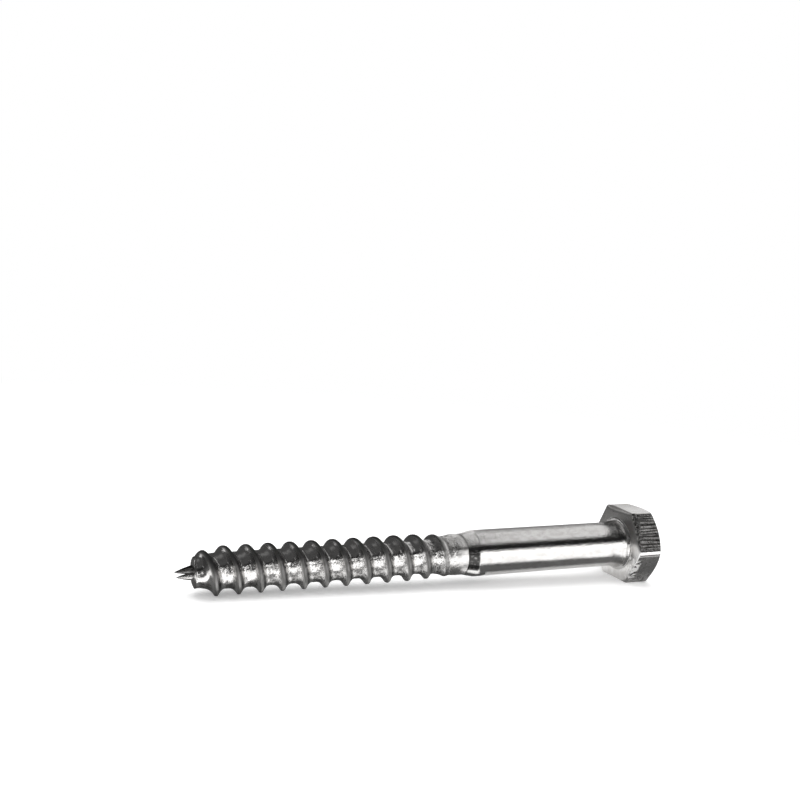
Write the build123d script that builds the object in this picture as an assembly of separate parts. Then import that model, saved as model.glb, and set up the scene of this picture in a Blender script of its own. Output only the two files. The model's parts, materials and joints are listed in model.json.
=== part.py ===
"""Hex-head coach screw, M8 x 80, with a rolled coarse wood thread and a nipped gimlet point.

The screw is one solid. It is modelled on its own axis and then laid down the way
it comes to rest: on one flat of the head and on the last full turn of the thread.

Own axis:   +Z from the tip to the head, with the bearing face of the head at Z = 0.
            A depth is a distance below that face, towards the tip.
Row frame:  +X from the tip to the head, +Z up, floor at Z = 0, millimetres.
"""
from build123d import *

import os
from math import atan2, cos, degrees, pi, radians, sin, tan

# ---------------------------------------------------------------- head
ACROSS_FLATS = 13.0          # spanner size
HEAD_HEIGHT = 5.3            # bearing face to crown
CROWN_DIAMETER = 12.35       # flat circle on top of the head
CROWN_SLOPE = 30.0           # degrees, chamfer over the corners of the head
HEAD_EDGE_RADIUS = 0.3       # rolled edge round the bearing face
HEAD_CORNER_RADIUS = 0.3     # edges between two flats
COLLAR_DIAMETER = 9.7        # low ring that the die leaves round the neck
COLLAR_HEIGHT = 0.2

# ---------------------------------------------------------------- shank
SHANK_DIAMETER = 8.0
SHANK_LENGTH = 30.0          # full diameter, from the bearing face
NECK_LENGTH = 2.7            # the shank swells towards the head over this length
NECK_SWELL = 0.45            # how much its radius grows there
STEP_LENGTH = 2.1            # cone from the shank down to the thread blank
BLANK_DIAMETER = 7.05        # rod that the thread is rolled on

# ---------------------------------------------------------------- thread
THREAD_DIAMETER = 7.8        # over the crests
CORE_DIAMETER = 5.7          # in the roots
PITCH = 3.6
FLANK_ANGLE = 60.0           # degrees, included
CREST_WIDTH = 0.4            # land on top of the ridge
THREAD_START = 33.5          # first trace of the thread, from the bearing face
GROOVE_RUN_OUT = 5.5         # length over which the roots reach their full depth
RIDGE_RUN_OUT = 9.0          # length over which the crests reach their full height
LAST_CREST = 74.8            # last full crest, where the thread touches the floor

# ---------------------------------------------------------------- gimlet point
POINT_LENGTH = 3.25          # from the last full crest to the nipped end
NIPPED_CREST_DIAMETER = 5.5  # over the ridge where it is nipped off
NIPPED_CORE_DIAMETER = 4.8   # core where it is nipped off
POINT_SWELL = 1.8            # above 1, the point stays full before it drops to its nipped end
NOSE_LENGTH = 0.85           # short cone beyond the nipped end
NOSE_DIAMETER = 2.3
SPUR_LENGTH = 2.0            # pinched spur left standing on the nose
SPUR_WIDTH = 2.3
SPUR_THICKNESS = 0.8
SPUR_TIP_SHARE = 0.15        # size of the spur's end as a share of its root

# ---------------------------------------------------------------- modelling values
STEPS_PER_TURN = 16          # spline points to each turn of the thread
SINK = 0.3                   # the ridge and the spur are rooted this deep
BURIED = 0.1                 # the ridge starts this far under the blank

# ---------------------------------------------------------------- derived sizes
shank_radius = SHANK_DIAMETER / 2
blank_radius = BLANK_DIAMETER / 2
crest_radius = THREAD_DIAMETER / 2
core_radius = CORE_DIAMETER / 2
collar_radius = COLLAR_DIAMETER / 2
nipped_crest_radius = NIPPED_CREST_DIAMETER / 2
nipped_core_radius = NIPPED_CORE_DIAMETER / 2
nipped_end = LAST_CREST + POINT_LENGTH
nose_end = nipped_end + NOSE_LENGTH
lie_angle = degrees(atan2(ACROSS_FLATS / 2 - crest_radius, LAST_CREST + HEAD_EDGE_RADIUS))


def slide(start, end, share):
    """Go straight from start to end and no further."""
    return start + (end - start) * min(max(share, 0.0), 1.0)


def ease(start, end, share):
    """Go from start to end with no kink at either one."""
    share = slide(0, 1, share)
    return start + (end - start) * share * share * (3 - 2 * share)


def core_at(depth):
    """Core radius at a depth."""
    if depth < LAST_CREST:
        return slide(blank_radius, core_radius, (depth - THREAD_START) / GROOVE_RUN_OUT)
    return slide(core_radius, nipped_core_radius, (depth - LAST_CREST) / POINT_LENGTH)


def crest_at(depth):
    """Radius over the ridge at a depth."""
    if depth < LAST_CREST:
        return ease(blank_radius - BURIED, crest_radius, (depth - THREAD_START) / RIDGE_RUN_OUT)
    return slide(crest_radius, nipped_crest_radius, ((depth - LAST_CREST) / POINT_LENGTH) ** POINT_SWELL)


def ridge_section(depth):
    """Corners of the ridge as points in space, from its headward root to its tipward root."""
    crest = crest_at(depth)
    root = core_at(depth) - SINK
    crest_reach = CREST_WIDTH / 2
    root_reach = crest_reach + (crest - root) * tan(radians(FLANK_ANGLE / 2))
    corners = [(-root_reach, root), (-crest_reach, crest), (crest_reach, crest), (root_reach, root)]
    turn = 2 * pi * (LAST_CREST - depth) / PITCH
    return [Vector(radius * cos(turn), radius * sin(turn), -depth - reach) for reach, radius in corners]


def ridge_slope(depth):
    """Direction in which each corner of the ridge runs on."""
    step = PITCH / 10000
    before = ridge_section(depth - step)
    after = ridge_section(depth + step)
    return [(b - a) / (2 * step) for a, b in zip(before, after)]


def make_ridge():
    """The wood thread: one ridge that winds from the run-out to the nipped end, turn by turn."""
    start = THREAD_START
    turns = round((nipped_end - start) / PITCH)
    turn_length = (nipped_end - start) / turns
    skin = []
    for turn in range(turns):
        first = start + turn * turn_length
        depths = [first + turn_length * step / STEPS_PER_TURN for step in range(STEPS_PER_TURN + 1)]
        paths = zip(*[ridge_section(depth) for depth in depths])
        slopes = zip(ridge_slope(depths[0]), ridge_slope(depths[-1]))
        rails = [
            Edge.make_spline(path, tangents=ends, parameters=depths, scale=False)
            for path, ends in zip(paths, slopes)
        ]
        skin += [Face.make_surface_from_curves(rails[i - 1], rails[i]) for i in range(len(rails))]
    for depth in (start, nipped_end):
        skin.append(Face(Wire.make_polygon(ridge_section(depth), close=True)))
    return Solid(Shell(skin))


def make_rod():
    """Collar, shank, step, core of the thread and nose, turned as one profile."""
    neck = shank_radius + NECK_SWELL
    neck_run = NECK_LENGTH - COLLAR_HEIGHT
    neck_bend = (neck_run**2 + NECK_SWELL**2) / (2 * NECK_SWELL)
    collar_land = collar_radius - COLLAR_HEIGHT
    inside = HEAD_HEIGHT / 2
    with BuildPart() as rod:
        with BuildSketch(Plane.XZ):
            with BuildLine():
                Polyline(
                    (0, inside),
                    (0, -nose_end),
                    (NOSE_DIAMETER / 2, -nose_end),
                    (nipped_core_radius, -nipped_end),
                    (core_radius, -LAST_CREST),
                    (core_radius, -THREAD_START - GROOVE_RUN_OUT),
                    (blank_radius, -THREAD_START),
                    (blank_radius, -SHANK_LENGTH - STEP_LENGTH),
                    (shank_radius, -SHANK_LENGTH),
                    (shank_radius, -NECK_LENGTH),
                )
                RadiusArc((shank_radius, -NECK_LENGTH), (neck, -COLLAR_HEIGHT), neck_bend)
                Polyline(
                    (neck, -COLLAR_HEIGHT),
                    (collar_land, -COLLAR_HEIGHT),
                    (collar_radius, 0),
                    (collar_radius, inside),
                    (0, inside),
                )
            make_face()
        revolve(axis=Axis.Z)
    return rod.part


def make_head():
    """Hexagon with a flat facing +X, rolled edges at the bearing face and a chamfered crown."""
    head_corner = ACROSS_FLATS / 2 / cos(radians(30))
    crown_drop = (head_corner - CROWN_DIAMETER / 2) * tan(radians(CROWN_SLOPE))
    with BuildPart() as head:
        with BuildSketch():
            RegularPolygon(ACROSS_FLATS / 2, 6, major_radius=False, rotation=30)
        extrude(amount=HEAD_HEIGHT)
        fillet(head.edges().filter_by(Axis.Z), HEAD_CORNER_RADIUS)
        fillet(head.edges().group_by(Axis.Z)[0], HEAD_EDGE_RADIUS)
        with BuildSketch(Plane.XZ):
            Polygon((0, 0), (head_corner, 0), (head_corner, HEAD_HEIGHT - crown_drop),
                    (CROWN_DIAMETER / 2, HEAD_HEIGHT), (0, HEAD_HEIGHT), align=None)
        revolve(axis=Axis.Z, mode=Mode.INTERSECT)
    return head.part


def make_spur():
    """The pinched spur: a flattened lozenge that runs down to a blunt tip."""
    half_width = SPUR_WIDTH / 2
    half_thickness = SPUR_THICKNESS / 2
    lozenge = [(half_width, 0), (0, half_thickness), (-half_width, 0), (0, -half_thickness)]
    with BuildPart() as spur:
        with BuildSketch(Plane.XY.offset(SINK - nose_end)):
            Polygon(*lozenge, align=None)
        with BuildSketch(Plane.XY.offset(-nose_end - SPUR_LENGTH)):
            Polygon(*lozenge, align=None)
            scale(by=SPUR_TIP_SHARE)
        loft(ruled=True)
    return spur.part


def lie_down(screw):
    """Tip the screw over until a head flat and the last full crest both touch the floor."""
    tipped = Rot(0, 90 - lie_angle, 0) * screw
    box = tipped.bounding_box()
    middle = box.center()
    return Pos(-middle.X, -middle.Y, -box.min.Z) * tipped


def main():
    """Build the screw and write it out."""
    screw = make_head() + make_rod() + make_ridge() + make_spur()
    os.makedirs("parts", exist_ok=True)
    export_step(lie_down(screw.solid()), "parts/coach_screw.step")


main()
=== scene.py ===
"""Coach screw in bright zinc: hex head, plain shank, rolled wood thread and nipped gimlet point.

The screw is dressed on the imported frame. Sizes are millimetres on the screw's own axis, where a depth is a
distance below the bearing face of the head towards the tip, and are turned into metres when a mesh is made.
"""

import json
import logging
import math
from dataclasses import dataclass, field
from enum import Enum
from functools import cached_property
from typing import Any, Callable, Sequence

import bpy
import numpy as np
from mathutils import Matrix, Vector, noise


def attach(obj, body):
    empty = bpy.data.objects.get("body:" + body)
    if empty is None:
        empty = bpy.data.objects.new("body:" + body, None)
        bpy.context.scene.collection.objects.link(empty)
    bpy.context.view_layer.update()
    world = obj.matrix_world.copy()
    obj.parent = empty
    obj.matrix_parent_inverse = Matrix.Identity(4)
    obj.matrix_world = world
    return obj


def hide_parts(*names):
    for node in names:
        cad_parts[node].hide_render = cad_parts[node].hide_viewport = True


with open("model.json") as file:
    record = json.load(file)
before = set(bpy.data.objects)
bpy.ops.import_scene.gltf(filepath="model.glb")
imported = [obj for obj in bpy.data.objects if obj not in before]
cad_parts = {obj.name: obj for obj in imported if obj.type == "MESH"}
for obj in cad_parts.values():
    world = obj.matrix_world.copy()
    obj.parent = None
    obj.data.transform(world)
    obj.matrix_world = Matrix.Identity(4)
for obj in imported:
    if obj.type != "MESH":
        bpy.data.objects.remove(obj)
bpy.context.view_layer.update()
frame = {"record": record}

LOG = logging.getLogger("coach_screw")
MM = 0.001

Pair = tuple[float, float]
Triple = tuple[float, float, float]


# ---------------------------------------------------------------- helpers


def ease(start: float, end: float, share: np.ndarray) -> np.ndarray:
    """Go from start to end with no kink at either one.

    Args:
        start: Value at share 0.
        end: Value at share 1.
        share: How far along, clipped to 0..1.

    Returns:
        The eased values.
    """
    share = np.clip(share, 0.0, 1.0)
    return start + (end - start) * share * share * (3.0 - 2.0 * share)


def grain(points: np.ndarray, size: float, seed: float) -> np.ndarray:
    """Smooth unevenness at a set of points.

    Args:
        points: N x 3 positions in millimetres.
        size: Size of one lump in millimetres.
        seed: Offset that gives each use its own pattern.

    Returns:
        N values between about -1 and 1.
    """
    scaled = points / size + seed
    return np.array([noise.noise(p) for p in scaled.tolist()])


def grows(value: np.ndarray, start: float | np.ndarray, over: float) -> np.ndarray:
    """Go from 0 to 1 with no kink while a value grows.

    Args:
        value: The value.
        start: Where the result leaves 0.
        over: How much further the value grows before the result reaches 1.

    Returns:
        The eased values.
    """
    return ease(0.0, 1.0, (value - start) / over)


def fades(value: np.ndarray, start: float | np.ndarray, over: float) -> np.ndarray:
    """Go from 1 to 0 with no kink while a value grows.

    Args:
        value: The value.
        start: Where the result leaves 1.
        over: How much further the value grows before the result reaches 0.

    Returns:
        The eased values.
    """
    return ease(1.0, 0.0, (value - start) / over)


def hump(value: np.ndarray, middle: float | np.ndarray, width: float | np.ndarray) -> np.ndarray:
    """A smooth hump, 1 in its middle.

    Args:
        value: The value.
        middle: Where the hump is highest.
        width: How far from there it has sunk to about a third.

    Returns:
        Height of the hump at each value.
    """
    return np.exp(-(((value - middle) / width) ** 2))


def round_places(turn: np.ndarray, radius: float | np.ndarray, depth: np.ndarray) -> np.ndarray:
    """Places round the axis as N x 3 points."""
    return np.column_stack((np.cos(turn) * radius, np.sin(turn) * radius, depth))


def put_in_scene(name: str, data: bpy.types.ID) -> bpy.types.Object:
    """Make an object and link it to the scene.

    Args:
        name: Name of the object.
        data: Its mesh, lamp or camera.

    Returns:
        The object.
    """
    made = bpy.data.objects.new(name, data)
    bpy.context.scene.collection.objects.link(made)
    return made


@dataclass(frozen=True)
class ScrewAxes:
    """The screw's own axes in the row frame.

    Attributes:
        face: Centre of the bearing face, in millimetres.
        tipward: Direction from the head to the tip.
        down: Direction square to the axis that points at the floor.
        back: Direction square to the other two.
    """

    face: np.ndarray
    tipward: np.ndarray
    down: np.ndarray
    back: np.ndarray

    @classmethod
    def from_record(cls, record: dict[str, Any], head_height: float) -> "ScrewAxes":
        """Read the axes from the record's mounts.

        Args:
            record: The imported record.
            head_height: Height of the head in millimetres.

        Returns:
            The axes of the screw as it lies.
        """
        drive = next(m for m in record["mounts"] if m["name"] == "hex_drive")
        headward = np.array(drive["axis"], float)
        headward /= np.linalg.norm(headward)
        crown = np.array(drive["pos_m"], float) / MM
        down = np.array((headward[2], 0.0, -headward[0]))
        return cls(crown - head_height * headward, -headward, down, np.array((0.0, 1.0, 0.0)))

    def place(self, depth: np.ndarray, across_down: np.ndarray, across_back: np.ndarray) -> np.ndarray:
        """Turn own coordinates into row points.

        Args:
            depth: Distances below the bearing face.
            across_down: Distances from the axis towards the floor.
            across_back: Distances from the axis towards the back.

        Returns:
            N x 3 points in millimetres.
        """
        return (
            self.face
            + np.outer(depth, self.tipward)
            + np.outer(across_down, self.down)
            + np.outer(across_back, self.back)
        )


@dataclass
class Skin:
    """A quad skin in the making: own coordinates, faces and painted values.

    Attributes:
        depth: Depth of each point.
        down: Distance of each point from the axis towards the floor.
        back: Distance of each point from the axis towards the back.
        faces: Corner numbers of each face.
        paint: Named values of each point, which the finish reads.
    """

    depth: np.ndarray
    down: np.ndarray
    back: np.ndarray
    faces: list[tuple[int, ...]]
    paint: dict[str, np.ndarray] = field(default_factory=dict)

    def points(self) -> np.ndarray:
        """Own coordinates as N x 3 points."""
        return np.column_stack((self.down, self.back, self.depth))

    def make(self, name: str, axes: ScrewAxes, finish: bpy.types.Material) -> bpy.types.Object:
        """Make the mesh object in the row frame.

        Args:
            name: Name of the piece.
            axes: The screw's axes.
            finish: Material of the piece.

        Returns:
            The new object.
        """
        mesh = bpy.data.meshes.new(name)
        places = axes.place(self.depth, self.down, self.back) * MM
        mesh.from_pydata(places.tolist(), [], self.faces)
        for label, values in self.paint.items():
            layer = mesh.attributes.new(label, "FLOAT", "POINT")
            layer.data.foreach_set("value", values.astype(np.float32))
        mesh.polygons.foreach_set("use_smooth", np.ones(len(mesh.polygons), bool))
        mesh.materials.append(finish)
        mesh.update()
        piece = put_in_scene(name, mesh)
        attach(piece, "root")
        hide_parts("coach_screw")
        return piece


def ring_faces(rings: int, columns: int) -> list[tuple[int, ...]]:
    """Quads between stacked closed rings, outside faces out.

    Args:
        rings: Number of rings.
        columns: Points in each ring.

    Returns:
        The faces.
    """
    faces = []
    for first in range(0, (rings - 1) * columns, columns):
        for column in range(columns):
            here, beside = first + column, first + (column + 1) % columns
            faces.append((here, beside, beside + columns, here + columns))
    return faces


def turned_skin(
    profile: Sequence[Pair],
    columns: int,
    unevenness: Callable[[np.ndarray, np.ndarray], np.ndarray] | None = None,
) -> Skin:
    """A turned surface.

    Args:
        profile: Pairs of depth and radius.
        columns: Points in each ring.
        unevenness: Gives an amount to add to the radius from the depths and turns. Less of it is added
            where the radius is under a millimetre.

    Returns:
        The skin.
    """
    depths = np.array([p[0] for p in profile])
    radii = np.array([p[1] for p in profile])
    turns = np.arange(columns) * 2.0 * math.pi / columns
    depth, turn = np.meshgrid(depths, turns, indexing="ij")
    radius = np.repeat(radii[:, None], columns, axis=1)
    depth, turn, radius = depth.ravel(), turn.ravel(), radius.ravel()
    if unevenness is not None:
        radius = radius + unevenness(depth, turn) * np.clip(radius, 0.0, 1.0)
    return Skin(depth, radius * np.cos(turn), radius * np.sin(turn), ring_faces(len(profile), columns))


# ---------------------------------------------------------------- shader graph


class Value:
    """A number socket that can be used in a Python expression."""

    def __init__(self, graph: "Graph", socket: bpy.types.NodeSocket) -> None:
        """Wrap a socket.

        Args:
            graph: Graph that the socket is in.
            socket: The output socket.
        """
        self.graph = graph
        self.socket = socket

    def __add__(self, other: Any) -> "Value":
        """Sum."""
        return self.graph.math("ADD", self, other)

    def __sub__(self, other: Any) -> "Value":
        """Difference."""
        return self.graph.math("SUBTRACT", self, other)

    def __rsub__(self, other: Any) -> "Value":
        """Difference from a plain number."""
        return self.graph.math("SUBTRACT", other, self)

    def __mul__(self, other: Any) -> "Value":
        """Product."""
        return self.graph.math("MULTIPLY", self, other)

    __radd__ = __add__
    __rmul__ = __mul__


class Graph:
    """The nodes of one material or of the world."""

    def __init__(self, owner: bpy.types.Material | bpy.types.World) -> None:
        """Give a material or the world an empty graph.

        Args:
            owner: The material or the world.
        """
        owner.use_nodes = True
        self.tree = owner.node_tree
        self.tree.nodes.clear()

    def node(
        self, kind: str, settings: dict[str, Any] | None = None, inputs: dict[Any, Any] | None = None
    ) -> bpy.types.Node:
        """Make a node.

        Args:
            kind: Type of the node.
            settings: Properties, set first.
            inputs: Numbers, colours, sockets or Values for the sockets, by name or number.

        Returns:
            The node.
        """
        made = self.tree.nodes.new(kind)
        for key, setting in (settings or {}).items():
            setattr(made, key, setting)
        for key, given in (inputs or {}).items():
            source = given.socket if isinstance(given, Value) else given
            if isinstance(source, bpy.types.NodeSocket):
                self.tree.links.new(source, made.inputs[key])
            else:
                made.inputs[key].default_value = source
        return made

    def math(self, operation: str, first: Any, second: Any) -> Value:
        """Join two numbers by a Math node.

        Args:
            operation: Name of the operation.
            first: First number or Value.
            second: Second number or Value.

        Returns:
            The result.
        """
        made = self.node("ShaderNodeMath", {"operation": operation}, {0: first, 1: second})
        return Value(self, made.outputs[0])

    def clamp(self, value: Value) -> Value:
        """Hold a value between 0 and 1."""
        return Value(self, self.node("ShaderNodeClamp", {}, {"Value": value}).outputs[0])

    def rise(self, value: Value, low: float, high: float) -> Value:
        """Ease from 0 to 1 while a value goes from low to high.

        Args:
            value: The value.
            low: Where the result leaves 0.
            high: Where the result reaches 1.

        Returns:
            The eased value.
        """
        limits = {"Value": value, "From Min": low, "From Max": high}
        made = self.node("ShaderNodeMapRange", {"interpolation_type": "SMOOTHSTEP"}, limits)
        return Value(self, made.outputs[0])

    def painted(self, label: str) -> Value:
        """Read a named value of the mesh."""
        made = self.node("ShaderNodeAttribute", {"attribute_name": label, "attribute_type": "GEOMETRY"})
        return Value(self, made.outputs["Fac"])

    def blend(self, share: Any, first: Any, second: Any) -> bpy.types.NodeSocket:
        """Mix two colours.

        Args:
            share: How much of the second colour.
            first: First colour.
            second: Second colour.

        Returns:
            The mixed colour.
        """
        made = self.node("ShaderNodeMix", {"data_type": "RGBA"}, {"Factor": share, 6: first, 7: second})
        return made.outputs[2]

    @cached_property
    def where(self) -> bpy.types.NodeSocket:
        """Place on the surface, in metres."""
        return self.node("ShaderNodeTexCoord").outputs["Object"]

    def mottle(self, size: float, detail: float = 3.0, roughness: float = 0.55, draw: float = 1.0) -> Value:
        """Cloudy unevenness of a given size.

        Args:
            size: Size of one lump in millimetres.
            detail: Octaves of finer lumps.
            roughness: Strength of the finer lumps.
            draw: Below 1, the lumps are drawn out along the screw.

        Returns:
            A value that stays mostly between 0.25 and 0.75.
        """
        where = self.where
        if draw != 1.0:
            drawn = {0: where, 1: (draw, 1.0, 1.0)}
            where = self.node("ShaderNodeVectorMath", {"operation": "MULTIPLY"}, drawn).outputs[0]
        lumps = {"Vector": where, "Scale": 1.0 / (size * MM), "Detail": detail, "Roughness": roughness}
        return Value(self, self.node("ShaderNodeTexNoise", {}, lumps).outputs["Fac"])

    def in_view(self) -> Value:
        """Tell what is looked at from what gives light.

        Returns:
            1 for the camera and for what metal mirrors or glass lets through, 0 for light on the object.
        """
        ray = self.node("ShaderNodeLightPath")
        camera, mirror, glass = (
            Value(self, ray.outputs[f"Is {kind} Ray"]) for kind in ("Camera", "Glossy", "Transmission")
        )
        return self.math("MAXIMUM", self.math("MAXIMUM", camera, mirror), glass)

    def glow(self, strength: float | Value) -> bpy.types.Node:
        """Shader of plain white light."""
        return self.node("ShaderNodeEmission", {}, {"Color": grey(1.0), "Strength": strength})

    def show(self, shader: bpy.types.Node, output: str = "ShaderNodeOutputMaterial") -> None:
        """Send a shader to the output."""
        self.node(output, {}, {"Surface": shader.outputs[0]})


def grey(level: float, warmth: float = 0.0) -> tuple[float, float, float, float]:
    """A grey, a little warmer or cooler than neutral.

    Args:
        level: Linear level.
        warmth: Share by which red is raised and blue lowered.

    Returns:
        The colour with alpha.
    """
    return (level * (1.0 + warmth), level, level * (1.0 - warmth), 1.0)


# ---------------------------------------------------------------- finishes


@dataclass
class Coat:
    """What a finish gives at each place of the surface.

    Attributes:
        graph: Graph of the material.
        colour: Colour of the plate.
        rough: Roughness.
        height: Relief in millimetres.
        metal: How metallic it is. Where the plate is torn, it scatters light like a rough surface.
    """

    graph: Graph
    colour: bpy.types.NodeSocket
    rough: Value
    height: Value
    metal: float | Value = 1.0

    def tint(self, share: Value, level: float, warmth: float = 0.02) -> None:
        """Blend the colour towards a grey.

        Args:
            share: How much of the grey.
            level: Level of the grey.
            warmth: Warmth of the grey.
        """
        self.colour = self.graph.blend(share, self.colour, grey(level, warmth))


@dataclass(frozen=True)
class BrightZinc:
    """Bright zinc plate over rolled and forged steel.

    Attributes:
        name: Name of the material.
        light: Level of clean plate.
        dull: Level of the duller plate between the bright crystals.
        warmth: Faint olive tint of the plate.
        gloss: Roughness of the smoothest plate.
        haze: Roughness added where the plate is dull.
        pebble: Depth of the fine pebbled grain, in millimetres.
        pebble_size: Size of a pebble in millimetres.
        dimple: Depth of the broader rolled unevenness, in millimetres.
        dimple_size: Size of the broader unevenness in millimetres.
        cloud_size: Size of the duller clouds in millimetres.
        crystal_size: Size of the bright crystals in millimetres.
        draw: Below 1, the grain is drawn out along the screw.
    """

    name: str
    light: float = 0.68
    dull: float = 0.58
    warmth: float = 0.012
    gloss: float = 0.10
    haze: float = 0.14
    pebble: float = 0.010
    pebble_size: float = 0.32
    dimple: float = 0.020
    dimple_size: float = 1.3
    cloud_size: float = 0.9
    crystal_size: float = 0.22
    draw: float = 1.0

    def surface(self, graph: Graph) -> Coat:
        """Clean plate with dull clouds, crystals and a pebbled grain.

        Args:
            graph: Graph of the material.

        Returns:
            The coat.
        """
        clouds = graph.rise(graph.mottle(self.cloud_size, 4.0, draw=self.draw), 0.40, 0.66)
        crystals = graph.rise(graph.mottle(self.crystal_size, 4.0, 0.7), 0.38, 0.62)
        dullness = graph.clamp(clouds * 0.6 + crystals * 0.4)
        colour = graph.blend(dullness, grey(self.light, self.warmth), grey(self.dull, self.warmth * 2.0))
        pebbles = graph.mottle(self.pebble_size, 3.0, 0.65, self.draw) * self.pebble
        dimples = graph.mottle(self.dimple_size, 2.0, 0.5) * self.dimple
        return Coat(graph, colour, dullness * self.haze + self.gloss, pebbles + dimples)

    def make(self) -> bpy.types.Material:
        """Build the material.

        Returns:
            The material.
        """
        material = bpy.data.materials.new(self.name)
        graph = Graph(material)
        coat = self.surface(graph)
        relief = graph.node("ShaderNodeBump", {}, {"Strength": 1.0, "Distance": MM, "Height": coat.height})
        sockets = {
            "Base Color": coat.colour,
            "Metallic": coat.metal,
            "Roughness": coat.rough,
            "Normal": relief.outputs[0],
        }
        graph.show(graph.node("ShaderNodeBsdfPrincipled", {}, sockets))
        return material


@dataclass(frozen=True)
class ForgedZinc(BrightZinc):
    """Bright zinc on the head, darker and torn where the trimming die cut the flats.

    Attributes:
        cut_level: Level of the trimmed flats.
        rib_level: Level of the ribs between the trimming marks.
        rib_scatter: How far the ribs scatter the light like a rough surface.
        trim_haze: Roughness added on the trimmed flats.
        dab_level: Level of the torn dabs beside the bearing face, and of the painted highlight on the bearing
            face near the corner.
        dab_scatter: How far the dabs scatter the light.
        darkened_level: Level of the darker end of the top flat and of the painted shade on the upper part of
            the bearing face.
        under_haze: Roughness added on the bearing face.
        edge_haze: Roughness added on the rounded edge over the top flat.
        edge_scatter: How far that edge scatters the light.
    """

    cut_level: float = 0.13
    rib_level: float = 0.62
    rib_scatter: float = 0.22
    trim_haze: float = 0.12
    dab_level: float = 0.85
    dab_scatter: float = 0.85
    darkened_level: float = 0.30
    under_haze: float = 0.16
    edge_haze: float = 0.40
    edge_scatter: float = 0.15

    def surface(self, graph: Graph) -> Coat:
        """Plate with the trimming marks, the torn dabs, a painted highlight, the darkened top flat and painted
        shade.

        Args:
            graph: Graph of the material.

        Returns:
            The coat.
        """
        coat = super().surface(graph)
        trimmed = graph.painted("trim")
        under = graph.painted("under")
        rounded = graph.painted("rounded")
        ribs = self.ribs(graph)
        dabs = self.dabs(graph)
        cut = graph.blend(ribs, grey(self.cut_level, 0.03), grey(self.rib_level, 0.02))
        coat.colour = graph.blend(trimmed, coat.colour, cut)
        # Darker towards one end of the top flat, and painted shade on the upper part of the bearing face.
        coat.tint(graph.painted("darkened"), self.darkened_level, 0.04)
        coat.tint(dabs, self.dab_level, 0.01)
        coat.rough += trimmed * self.trim_haze
        coat.rough += under * self.under_haze * (1.0 - rounded) + rounded * self.edge_haze
        coat.height *= 1.0 - under * 0.75
        # The dabs, with the painted highlight among them, scatter light like a rough surface.
        scattered = dabs * self.dab_scatter + ribs * trimmed * self.rib_scatter + rounded * self.edge_scatter
        coat.metal = graph.clamp(1.0 - scattered)
        return coat

    def ribs(self, graph: Graph) -> Value:
        """Find the ribs left between the trimming marks, and specks on the plain band.

        Args:
            graph: Graph of the material.

        Returns:
            1 on a rib and 0 in a mark.
        """
        land = graph.painted("land")
        specks = graph.mottle(0.35, 3.0, 0.7)
        broken = graph.rise(specks, 0.30, 0.60) * 0.8 + 0.2
        ridges = (1.0 - graph.rise(graph.painted("cut"), 0.25, 0.80)) * broken
        speckled = graph.rise(specks, 0.50, 0.62) * 0.8 + 0.12
        return graph.clamp(ridges * (1.0 - land) + land * speckled)

    def dabs(self, graph: Graph) -> Value:
        """Find where the trimming die tore the plate beside the bearing face, and where a highlight is painted
        on the bearing face.

        Args:
            graph: Graph of the material.

        Returns:
            1 where the plate is torn or the highlight is painted, and 0 elsewhere.
        """
        strokes = graph.rise(graph.mottle(0.55, 1.0, draw=0.45), 0.48, 0.54)
        worn = graph.painted("worn") * graph.rise(graph.mottle(0.6, 4.0, 0.7), 0.34, 0.62) * 0.5
        # The painted highlight near the corner of the bearing face joins the scratch and the worn band.
        bright = graph.painted("painted_highlight") * 0.8 + graph.painted("scratch") + worn
        return graph.clamp(graph.painted("struck") * strokes + bright)


@dataclass(frozen=True)
class DrawnZinc(BrightZinc):
    """Bright zinc on the shank, with painted shade on the cone at its end.

    Attributes:
        cone_shade_level: Level of the painted shade on the cone.
    """

    cone_shade_level: float = 0.03

    def surface(self, graph: Graph) -> Coat:
        """Plate with the painted shade on the cone and bright specks left in it.

        Args:
            graph: Graph of the material.

        Returns:
            The coat.
        """
        coat = super().surface(graph)
        specks = graph.rise(graph.mottle(0.4, 3.0, 0.7), 0.52, 0.64)
        # Painted shade on the cone, with bright specks left in it.
        coat.tint(graph.painted("cone_shade") * (0.97 - specks * 0.30), self.cone_shade_level)
        return coat


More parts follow.
